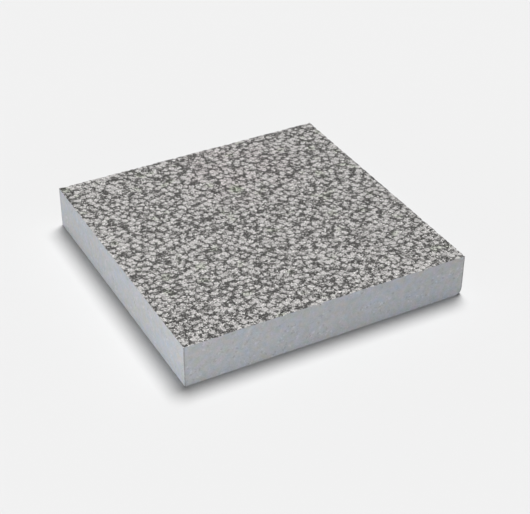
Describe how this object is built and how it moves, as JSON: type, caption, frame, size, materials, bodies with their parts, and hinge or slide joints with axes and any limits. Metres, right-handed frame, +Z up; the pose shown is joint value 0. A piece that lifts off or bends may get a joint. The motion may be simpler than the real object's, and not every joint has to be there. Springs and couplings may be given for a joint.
{
  "type": "granite slab",
  "caption": "Square stone slab with a bush-hammered top face and smooth sawn sides and underside, a heavy flat base for leather tooling and punching.",
  "frame": {"origin": "centre of the underside, on the surface that the slab rests on", "axes": "+Z up through the thickness and out of the hammered face; +X and +Y along the sides of the square"},
  "size_m": [0.2, 0.2, 0.03],
  "materials": {
    "stone": "matte"
  },
  "bodies": {
    "root": {"stone_slab": "stone"}
  },
  "joints": []
}
